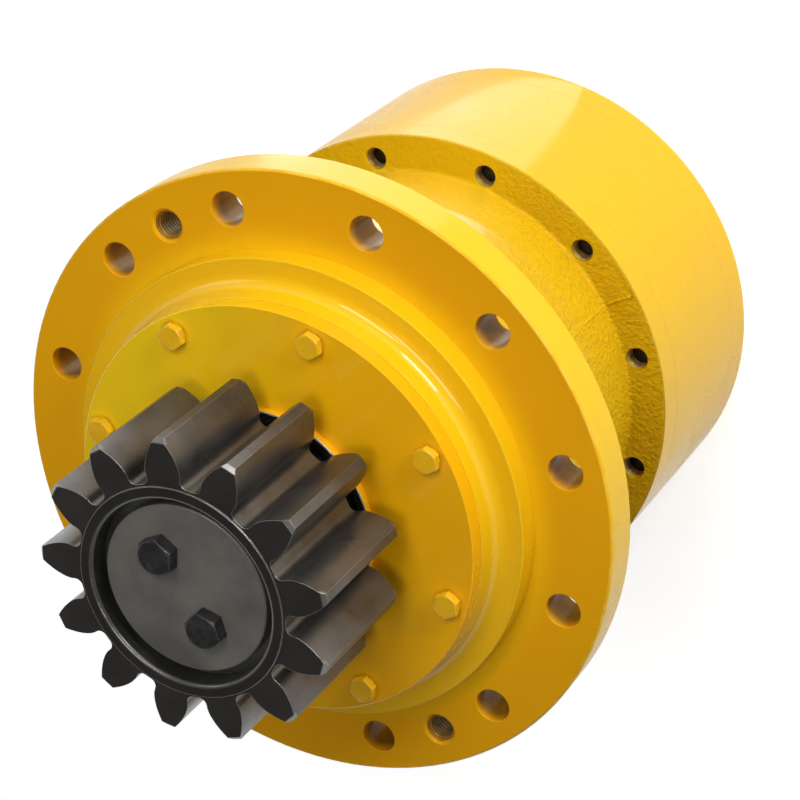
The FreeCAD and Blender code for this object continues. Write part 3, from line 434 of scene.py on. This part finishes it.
dress(["ring_gear", "motor_cover"], painted("drum_paint", drum_lit_yellow, drum_worn))


# Output cover: a turned steel disc with a collar round the seal. Its coat of enamel is thinner
# and a little greener, and the collar's rim was turned bare again after painting. The bore
# inside the collar is painted near black, as shade.
cover_bolt_count, cover_bolt_ring = 8, 0.1385
collar_r, collar_top = 0.0800, 0.4200
cover_warm, cover_green = (0.93, 0.455, 0.004, 1), (0.94, 0.640, 0.009, 1)
cover_dull, cover_bolt_shade = (0.70, 0.42, 0.008, 1), (0.20, 0.13, 0.008, 1)
bare_rim, bore_shade_dark = (0.86, 0.84, 0.80, 1), (0.05, 0.045, 0.04, 1)


def cover_material():
    """Enamel that turns greener to one side, with painted shade round the bolts and in the bore,
    and soiling in the seam.
    """
    s = Shader("cover_paint")
    round_normal, edge = s.edges(0.0003)
    slope = s.plus(s.times(s.x, 3.2), s.times(s.noise(6, 4, 0.6), 0.9))
    tone = s.blend(s.spread(slope, 0.15, 0.95, 0.0, 0.85), cover_warm, cover_green)
    tone = s.blend(s.spread(s.noise(11, 5, 0.6), 0.45, 0.75, 0.0, 0.4), tone, cover_dull)
    # Painted shade: a patchy darker ring round each bolt head on the cover.
    bolt_shade = s.spread(s.from_ring(cover_bolt_count, cover_bolt_ring), 0.0090, 0.0125, 0.45, 0.0)
    bolt_shade = s.times(bolt_shade, s.spread(s.noise(60, 3), 0.3, 0.6, 0.4, 1.0))
    tone = s.blend(bolt_shade, tone, cover_bolt_shade)
    tone = s.blend(seam_grime(s), tone, paint_dirt_and_shade)
    tone = s.blend(s.times(edge, 0.08), tone, paint_thin_and_sheen)
    rim = s.times(
        s.below(s.radius, collar_r, collar_r + 0.0002),
        s.above(s.height, collar_top - 0.0050, collar_top - 0.0048),
        s.above(s.height, collar_top - 0.0006, collar_top - 0.0002),
    )
    # Painted shade: the bore inside the collar is near black.
    bore_shade = s.times(
        s.below(s.radius, collar_r - 0.0009, collar_r - 0.0007),
        s.below(s.height, collar_top - 0.0001, collar_top),
    )
    tone = s.blend(rim, tone, bare_rim)
    tone = s.blend(bore_shade, tone, bore_shade_dark)
    gloss = s.spread(s.noise(16, 4), 0.3, 0.7, 0.2, 0.32)
    s.set(Base_Color=tone, Roughness=gloss, Metallic=s.times(s.most(rim, bore_shade), 0.7))
    peel = s.bump(s.noise(230, 2), 0.00004, round_normal)
    s.set(Normal=s.bump(s.lines(s.radius, 2600), 0.00002, peel), Specular_IOR_Level=0.14)
    s.set(Coat_Weight=0.2, Coat_Roughness=coat_rough)
    return s.material


dress(["output_cover"], cover_material())


# Cover bolts: eight hex bolts, painted over where they sit. The paint is thin and rubbed on
# the corners that a spanner has touched.
bolt_yellow, bolt_deep = (0.93, 0.52, 0.006, 1), (0.84, 0.45, 0.007, 1)
bolt_chip = (0.50, 0.30, 0.02, 1)


def cover_bolt_material():
    """Thin enamel with chips and rubbed corners."""
    s = Shader("cover_bolt_paint")
    round_normal, edge = s.edges(0.0008)
    tone = s.blend(s.above(s.noise(90, 4, 0.6), 0.35, 0.65), bolt_yellow, bolt_deep)
    tone = s.blend(s.spread(s.noise(260, 4, 0.7), 0.62, 0.68, 0.0, 0.6), tone, bolt_chip)
    tone = s.blend(s.times(edge, 0.45), tone, paint_thin_and_sheen)
    s.set(Base_Color=tone, Roughness=s.spread(s.noise(120, 3), 0.3, 0.7, 0.24, 0.38))
    s.set(Normal=s.bump(s.noise(420, 3), 0.00009, round_normal), Specular_IOR_Level=0.35)
    s.set(Coat_Weight=0.3, Coat_Roughness=0.1)
    return s.material


dress(["cover_bolts"], cover_bolt_material())


# Oil plugs: zinc plated steel screws with a hexagon socket, put in after painting.
def bare(name, light, dark, cloud, shine, grain, metallic=0.0, lines=0, rubbed=None):
    """Unpainted surface in two tones, with a wandering roughness and a fine grain.

    cloud, shine and grain are each a noise (scale, detail, rough) with numbers after it: the
    values between which one tone gives way to the other, the two roughnesses, and the depth.
    lines adds turning marks along the height, and rubbed is an edge's radius, share and tone.
    """
    s = Shader(name)
    noise, low, high = cloud
    tone = s.blend(s.above(s.noise(*noise), low, high), light, dark)
    normal = None
    if rubbed:
        radius, share, bright = rubbed
        normal, edge = s.edges(radius)
        tone = s.blend(s.times(edge, share), tone, bright)
    noise, smooth, dull = shine
    s.set(Base_Color=tone, Roughness=s.spread(s.noise(*noise), 0.3, 0.7, smooth, dull))
    noise, depth = grain
    normal = s.bump(s.noise(*noise), depth, normal)
    if lines:
        normal = s.bump(s.lines(s.height, lines), 0.00002, normal)
    s.set(Normal=normal, Metallic=metallic)
    return s.material


plug_steel = bare(
    "plug_steel", (0.50, 0.46, 0.34, 1), (0.36, 0.34, 0.27, 1),
    cloud=((60, 4), 0.35, 0.7), shine=((150, 3), 0.28, 0.45), grain=((500, 3), 0.00005),
    metallic=0.9,
)
dress(["level_plug", "drain_plug"], plug_steel)


# Pinion: forged alloy steel, hobbed, hardened and oiled. Scale from hardening leaves it dark
# brown. The lighter edges are rubbed steel and painted highlight both, and the lighter chamfer
# on each tooth tip and the rings at the hub and the recess are painted highlights.
tooth_light, tooth_dark = (0.155, 0.151, 0.145, 1), (0.098, 0.095, 0.091, 1)
tooth_grime, face_dark = (0.050, 0.044, 0.037, 1), (0.062, 0.057, 0.049, 1)
rubbed_and_highlight_steel = (0.50, 0.48, 0.45, 1)
tip_r, tip_low, tip_high = 0.1077, 0.4335, 0.5295
hub_r, recess_r, pinion_face = 0.0758, 0.0688, 0.5310


def pinion_material():
    """Scaled steel, darker on the front face, with lighter edges that are rubbed and painted
    highlight both, painted highlights on the chamfer of each tooth tip and on the hub rings, and
    the marks of the tools.
    """
    s = Shader("pinion_steel")
    round_normal, edge = s.edges(0.0006)
    tone = s.blend(s.above(s.noise(17, 4, 0.55), 0.35, 0.7), tooth_light, tooth_dark)
    tone = s.blend(s.spread(s.noise(60, 5, 0.7), 0.56, 0.72, 0.0, 0.5), tone, tooth_grime)
    front = s.above(s.height, pinion_face - 0.0007, pinion_face)
    tone = s.blend(front, tone, face_dark)
    # Painted highlights: lighter steel on the chamfer of each tooth tip and on the rings at the hub
    # and the recess.
    chamfer_highlights = s.most(s.near(tip_r, tip_high, 0.0030), s.near(tip_r, tip_low, 0.0030))
    rim_highlights = s.near(hub_r, pinion_face + 0.0004, 0.0009)
    rim_highlights = s.most(rim_highlights, s.near(recess_r, pinion_face, 0.0014))
    # Lighter steel on the edges, rubbed and partly painted highlight, and on the painted
    # highlights.
    rubbed = s.most(s.times(edge, 0.8), s.times(rim_highlights, 0.35), s.times(chamfer_highlights, 0.22))
    tone = s.blend(rubbed, tone, rubbed_and_highlight_steel)
    hobbed = s.times(s.lines(s.height, 900), s.less(1.0, front))
    turned = s.times(s.lines(s.radius, 2400), front)
    fine = s.bump(s.noise(300, 4, 0.6), 0.00003, round_normal)
    s.set(Base_Color=tone, Roughness=s.spread(s.noise(40, 4, 0.6), 0.3, 0.7, 0.27, 0.36))
    s.set(Normal=s.bump(s.plus(hobbed, turned), 0.00002, fine))
    s.set(Metallic=0.85, Specular_IOR_Level=0.3)
    return s.material


dress(["pinion"], pinion_material())


# End plate: turned steel disc with a matt grey phosphate coat, held by two bolts.
plate_light, plate_dark = (0.190, 0.176, 0.158, 1), (0.120, 0.111, 0.100, 1)
plate_scuff, plate_edge = (0.23, 0.21, 0.19, 1), (0.30, 0.29, 0.27, 1)


def plate_material():
    """Phosphated steel with turning rings, rubbed at the edge and scuffed in long strokes."""
    s = Shader("plate_steel")
    round_normal, edge = s.edges(0.0006)
    tone = s.blend(s.above(s.noise(18, 4, 0.55), 0.35, 0.7), plate_light, plate_dark)
    strokes = s.nodes.new("ShaderNodeMapping")
    strokes.inputs["Scale"].default_value = (1.0, 4.0, 1.0)
    s.feed(strokes.inputs["Vector"], s.place)
    scuff = s.spread(s.noise(42, 5, 0.7, strokes.outputs[0]), 0.66, 0.76, 0.0, 0.25)
    tone = s.blend(scuff, tone, plate_scuff)
    tone = s.blend(s.times(edge, 0.4), tone, plate_edge)
    fine = s.bump(s.noise(700, 3), 0.00002, round_normal)
    s.set(Base_Color=tone, Roughness=s.spread(s.noise(60, 4), 0.3, 0.7, 0.44, 0.6))
    s.set(Normal=s.bump(s.lines(s.radius, 2200), 0.00002, fine), Metallic=0.35)
    return s.material


dress(["end_plate"], plate_material())


# Black bolts: the end plate's two hex bolts and the long case screws, quenched and oiled.
black_steel = bare(
    "black_steel", (0.030, 0.030, 0.032, 1), (0.055, 0.053, 0.052, 1),
    cloud=((110, 4, 0.6), 0.4, 0.7), shine=((200, 3), 0.26, 0.42), grain=((600, 3, 0.6), 0.00004),
    metallic=0.55, rubbed=(0.0009, 0.6, (0.16, 0.155, 0.15, 1)),
)
dress(["end_plate_bolts", "case_bolts"], black_steel)


# Oil seal and O-ring: moulded nitrile rubber with a fine matt skin.
nitrile_rubber = bare(
    "nitrile_rubber", (0.018, 0.018, 0.019, 1), (0.034, 0.032, 0.030, 1),
    cloud=((80, 4), 0.4, 0.7), shine=((90, 3), 0.42, 0.62), grain=((900, 2), 0.00003),
)
dress(["oil_seal", "cover_o_ring"], nitrile_rubber)


# Shaft, sleeve, pins, rings and bearings: ground steel in several tones. Inside the case
# they are wet with oil, so they are smooth.
def steel(name, light, dark, smooth, dull, lines):
    """Bright steel with a roughness from smooth to dull and turning lines along the height."""
    return bare(
        name, light, dark,
        cloud=((38, 4, 0.6), 0.35, 0.7), shine=((70, 3), smooth, dull), grain=((520, 3), 0.00003),
        metallic=0.95, lines=lines,
    )


ground_steel = steel("ground_steel", (0.60, 0.60, 0.60, 1), (0.48, 0.48, 0.48, 1), 0.16, 0.28, 3000)
dress(["spacer_sleeve", "planet_pins_1", "planet_pins_2", "dowel_pins"], ground_steel)
dress(["shaft_thrust_button", "sun_thrust_button"], ground_steel)
shaft_steel = steel("shaft_steel", (0.36, 0.35, 0.34, 1), (0.26, 0.25, 0.245, 1), 0.26, 0.4, 1400)
dress(["output_shaft"], shaft_steel)
bright, greyer = (0.66, 0.66, 0.67, 1), (0.55, 0.55, 0.56, 1)
bearing_steel = steel("bearing_steel", bright, greyer, 0.12, 0.22, 3600)
cage_steel = steel("cage_steel", (0.40, 0.40, 0.40, 1), (0.30, 0.30, 0.30, 1), 0.3, 0.44, 900)
for bearing in ("upper_bearing_", "lower_bearing_"):
    dress([bearing + piece for piece in ("outer_ring", "inner_ring", "rollers")], bearing_steel)
    dress([bearing + "cage"], cage_steel)
ring_steel = steel("ring_steel", (0.15, 0.16, 0.20, 1), (0.10, 0.10, 0.12, 1), 0.22, 0.34, 1200)
dress(["shaft_snap_ring", "pin_snap_rings"], ring_steel)
gear_steel = steel("gear_steel", (0.46, 0.45, 0.44, 1), (0.36, 0.355, 0.35, 1), 0.18, 0.32, 1800)
planets = [stage + which for stage in "12" for which in "abc"]
dress(["sun_gear_1", "sun_gear_2"] + ["planet_" + planet for planet in planets], gear_steel)


# Carriers: machined ductile iron, grey with a fine grain.
carrier_iron = bare(
    "carrier_iron", (0.20, 0.20, 0.20, 1), (0.13, 0.13, 0.13, 1),
    cloud=((50, 5, 0.65), 0.35, 0.7), shine=((130, 4), 0.36, 0.54),
    grain=((420, 4, 0.65), 0.00008), metallic=0.6,
)
dress(["carrier_1", "carrier_2"], carrier_iron)


# Bushes and thrust washers: cast bearing bronze, browned by hot oil.
bearing_bronze = bare(
    "bearing_bronze", (0.60, 0.36, 0.13, 1), (0.42, 0.24, 0.09, 1),
    cloud=((55, 4, 0.6), 0.35, 0.7), shine=((110, 3), 0.22, 0.38), grain=((500, 3), 0.00004),
    metallic=0.95,
)
dress(["planet_bush_" + planet for planet in planets], bearing_bronze)
dress(["thrust_washers_1", "thrust_washers_2"], bearing_bronze)


# Jack holes: two tapped M24 holes through the flange. The tap leaves a spiral of sharp
# ridges, and the paint runs a little way in.
def grid(points):
    """Corners and quads over a grid of points, array (u, v, 3)."""
    rows, columns = points.shape[:2]
    index = np.arange(rows * columns).reshape(rows, columns)
    quads = [index[:-1, :-1], index[:-1, 1:], index[1:, 1:], index[1:, :-1]]
    return points.reshape(-1, 3), np.stack(quads, -1).reshape(-1, 4)


def add_piece(name, grids, body, material):
    """Joins grids into one smooth piece on a body, with its faces outwards as they are given."""
    starts = np.cumsum([0] + [len(corners) for corners, _ in grids])
    corners = np.vstack([corners for corners, _ in grids])
    quads = np.vstack([quads + start for (_, quads), start in zip(grids, starts)])
    mesh = bpy.data.meshes.new(name)
    mesh.from_pydata(corners, [], quads)
    mesh.polygons.foreach_set("use_smooth", [True] * len(quads))
    mesh.materials.append(material)
    piece = bpy.data.objects.new(name, mesh)
    scene.collection.objects.link(piece)
    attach(piece, body)


def thread_ridge(x, y, low, high, bore, depth, pitch, steps):
    """Spiral ridge inside a bore: a vee carried up a helix, foot on the bore and crest inwards.

    Radius = bore - depth * crest(v), height = low + pitch * turns(u) + pitch * foot(v),
    and the vee shrinks to nothing over the first and last half turn.
    """
    turns = (high - low) / pitch - 1.0
    u = np.linspace(0.0, turns, int(turns * steps))[:, None]
    foot = np.array([0.04, 0.42, 0.58, 0.96])[None, :]
    crest = np.array([-0.12, 1.0, 1.0, -0.12])[None, :]
    fade = np.clip(np.minimum(u, turns - u) / 0.5, 0.02, 1.0)
    radius = bore - depth * crest * fade
    angle = 2 * np.pi * u + 0 * foot
    height = low + pitch * (u + 0.5 + (foot - 0.5) * np.maximum(fade, 0.3))
    points = np.stack([x + radius * np.cos(angle), y + radius * np.sin(angle), height], -1)
    return grid(points[:, ::-1])


def threads(ring, turns, **ridge):
    """Thread ridges in holes on a ring, at angles in degrees."""
    angles = [math.radians(turn) for turn in turns]
    return [thread_ridge(ring * math.cos(a), ring * math.sin(a), **ridge) for a in angles]


crest_brown, crest_dark = (0.44, 0.29, 0.09, 1), (0.26, 0.18, 0.08, 1)
groove_oil = (0.030, 0.020, 0.010, 1)


def tapped_material():
    """Cut iron: paint on the first turns, brown crests under it and dark oil in the grooves.

    The two jack holes lie where x = -y, so |x - y| and x + y measure from both at once,
    with a scale of the square root of 2.
    """
    s = Shader("tapped_iron")
    slant = s.math("ABSOLUTE", s.less(s.x, s.y))
    far = s.length(s.less(slant, hole_ring * math.sqrt(2)), s.plus(s.x, s.y))
    crest = s.below(far, 0.0128, 0.0146)
    tone = s.blend(s.above(s.noise(160, 4, 0.6), 0.45, 0.62), crest_brown, crest_dark)
    tone = s.blend(s.above(s.height, flange_top - 0.009, flange_top - 0.002), tone, paint_yellow)
    in_flange = s.above(s.height, flange_low - 0.0040, flange_low - 0.0039)
    tone = s.blend(s.times(s.less(1.0, crest), in_flange, 0.85), tone, groove_oil)
    s.set(Base_Color=tone, Metallic=0.3, Roughness=s.spread(s.noise(220, 3), 0.3, 0.7, 0.3, 0.5))
    s.set(Normal=s.bump(s.noise(600, 3), 0.00006))
    return s.material


tapped_iron = tapped_material()
jack_threads = threads(
    hole_ring, (-45.0, 135.0),
    low=flange_low + hair, high=flange_top - hair, bore=0.0104, depth=0.0014, pitch=0.003, steps=48,
)
add_piece("jack_threads", jack_threads, "housing", tapped_iron)


# Case screw holes: twelve M16 threads in the rear flange, open above the screws' ends.
screw_ring = 0.1719
screw_threads = threads(
    screw_ring, range(0, 360, 30),
    low=0.1577, high=0.1683, bore=0.00805, depth=0.0010, pitch=0.002, steps=32,
)
add_piece("rear_hole_threads", screw_threads, "housing", tapped_iron)


# Parting line: where the two halves of the sand mould met, a thin fin is left on the neck
# and filed down. It runs up the neck, through the fillets and out on both flange faces.
root_fillet, top_fillet = 0.0025, 0.014


def neck_profile(count):
    """Points (radius, height) up the rear face, root fillet, taper, top fillet and flange."""
    root = np.linspace(-np.pi / 2, -np.pi, 9)
    root_middle = (0.1640, rear_face + root_fillet)
    low = root_middle + root_fillet * np.stack([np.cos(root), np.sin(root)], -1)
    top = np.linspace(np.pi, np.pi / 2, 13)
    top_middle = (0.1788, flange_low - top_fillet)
    high = top_middle + top_fillet * np.stack([np.cos(top), np.sin(top)], -1)
    corners = np.vstack([[(0.186, rear_face)], low, high, [(0.224, flange_low)]])
    along = np.r_[0, np.cumsum(np.hypot(*np.diff(corners, axis=0).T))]
    at = np.linspace(0, along[-1], count)
    return np.stack([np.interp(at, along, corners[:, 0]), np.interp(at, along, corners[:, 1])], -1)


def parting_fin(azimuth):
    """Low ridge across v carried along the neck's profile, v from one foot to the other.

    Point = profile(u) + normal(u) * (height(u) * hump(v) - sink) + side * width * v,
    with a slow wave in height and place, as a filed fin has.
    """
    tall, wave, sink, width = 0.0010, 0.0004, 0.0002, 0.0018
    profile = neck_profile(260)
    step = np.gradient(profile, axis=0)
    step /= np.hypot(step[:, 0], step[:, 1])[:, None]
    normal = np.stack([step[:, 1], -step[:, 0]], -1)
    u = np.linspace(0, 1, len(profile))[:, None]
    v = np.linspace(-1, 1, 9)[None, :]
    lift = (tall + wave * np.sin(37 * u) * np.sin(11 * u)) * (1 - v ** 2) ** 1.5 - sink
    side = width * v + 0.0010 * np.sin(9 * u) + 0.0004 * np.sin(31 * u)
    radius = profile[:, :1] + normal[:, :1] * lift
    height = profile[:, 1:] + normal[:, 1:] * lift
    a = math.radians(azimuth)
    x = radius * math.cos(a) - side * math.sin(a)
    y = radius * math.sin(a) + side * math.cos(a)
    return grid(np.stack([x, y, height], -1))


fins = [parting_fin(azimuth) for azimuth in (-135.0, 45.0)]
add_piece("parting_line", fins, "housing", case_paint)
